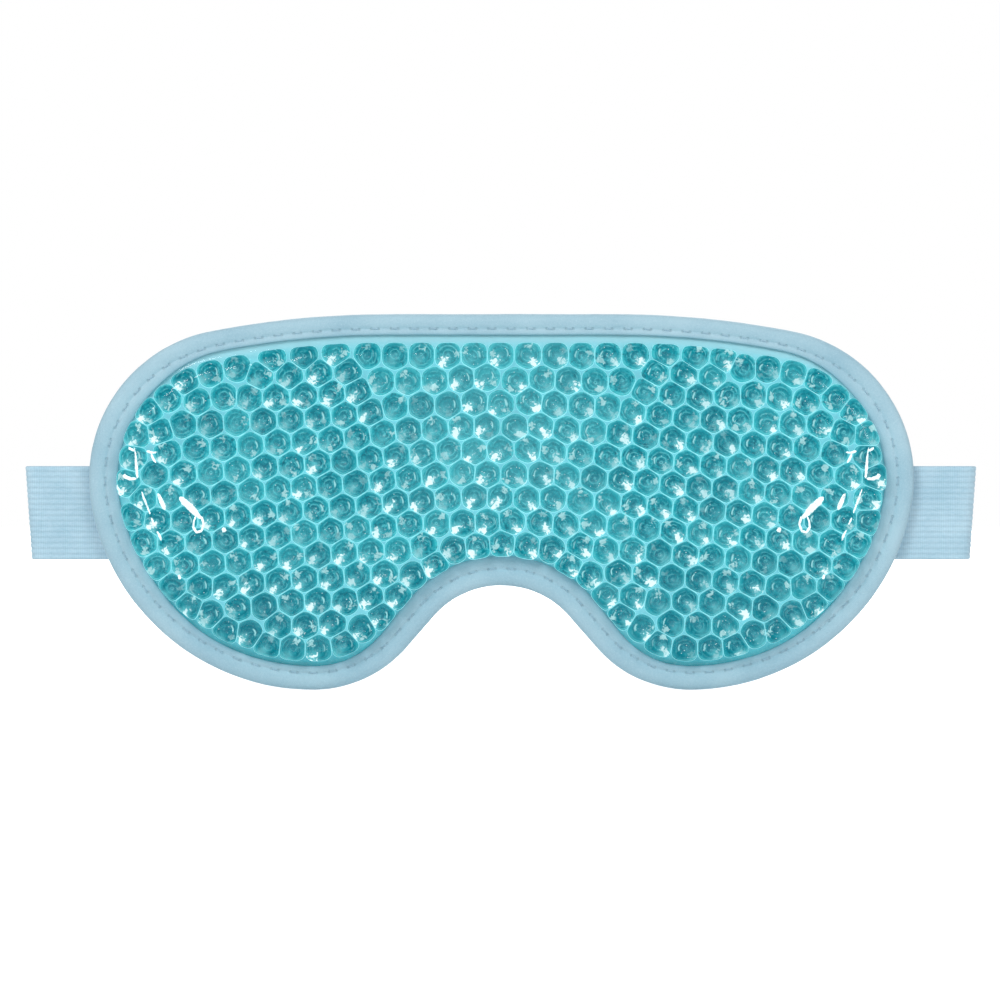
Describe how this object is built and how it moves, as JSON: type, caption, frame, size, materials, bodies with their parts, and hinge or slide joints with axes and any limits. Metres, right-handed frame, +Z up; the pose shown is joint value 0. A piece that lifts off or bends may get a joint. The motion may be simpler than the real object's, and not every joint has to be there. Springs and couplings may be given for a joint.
{
  "type": "gel bead eye mask",
  "caption": "Mask-shaped eye pillow: clear pouch of gel beads on a plush backing, bound edge, folded elastic straps with hook and loop patches.",
  "frame": {"origin": "on the plush face that rests on the wearer, on the middle plane between the eyes, half way up the pad", "axes": "+X across the face along the longest side (the pad's own right-hand side when its gel front is looked at), +Y out of the plush face towards the wearer, +Z up the wearer's forehead"},
  "size_m": [0.2538, 0.0181, 0.1002],
  "materials": {
    "clear_film": "clear glossy flexible film",
    "tinted_film": "glossy turquoise flexible film",
    "gel": "wet glossy soft gel",
    "plush": "short brushed pile",
    "binding_cloth": "soft brushed knit tape",
    "thread": "satin sewing thread",
    "elastic": "ribbed woven elastic",
    "loop_tape": "matt loop pile",
    "hook_tape": "matt woven nylon hooks"
  },
  "bodies": {
    "mask": {"front_film": "clear_film", "rear_film": "tinted_film", "gel_beads": "gel", "plush_backing": "plush", "binding_tape": "binding_cloth", "binding_stitching": "thread", "left_strap_lead": "elastic", "left_strap_tack": "thread", "right_strap_lead": "elastic", "right_strap_tack": "thread"},
    "left_tail": {"left_strap_tail": "elastic", "left_strap_span": "elastic"},
    "left_end": {"left_strap_end": "elastic", "loop_patch": "loop_tape", "loop_patch_stitching": "thread"},
    "right_tail": {"right_strap_tail": "elastic", "right_strap_span": "elastic"},
    "right_end": {"right_strap_end": "elastic", "hook_patch": "hook_tape", "hook_patch_stitching": "thread"}
  },
  "joints": [
    {"name": "left_strap_unfold", "type": "hinge", "parent": "mask", "child": "left_tail", "pos_m": [-0.12827, 0.00195, -0.003], "axis": [0, 0, 1], "range_deg": [0, 180]},
    {"name": "left_strap_stretch", "type": "slide", "parent": "left_tail", "child": "left_end", "axis": [1, 0, 0], "range_m": [0, 0.045], "deforming": ["left_strap_span"]},
    {"name": "right_strap_unfold", "type": "hinge", "parent": "mask", "child": "right_tail", "pos_m": [0.12827, 0.00415, -0.003], "axis": [0, 0, -1], "range_deg": [0, 180]},
    {"name": "right_strap_stretch", "type": "slide", "parent": "right_tail", "child": "right_end", "axis": [-1, 0, 0], "range_m": [0, 0.045], "deforming": ["right_strap_span"]}
  ]
}
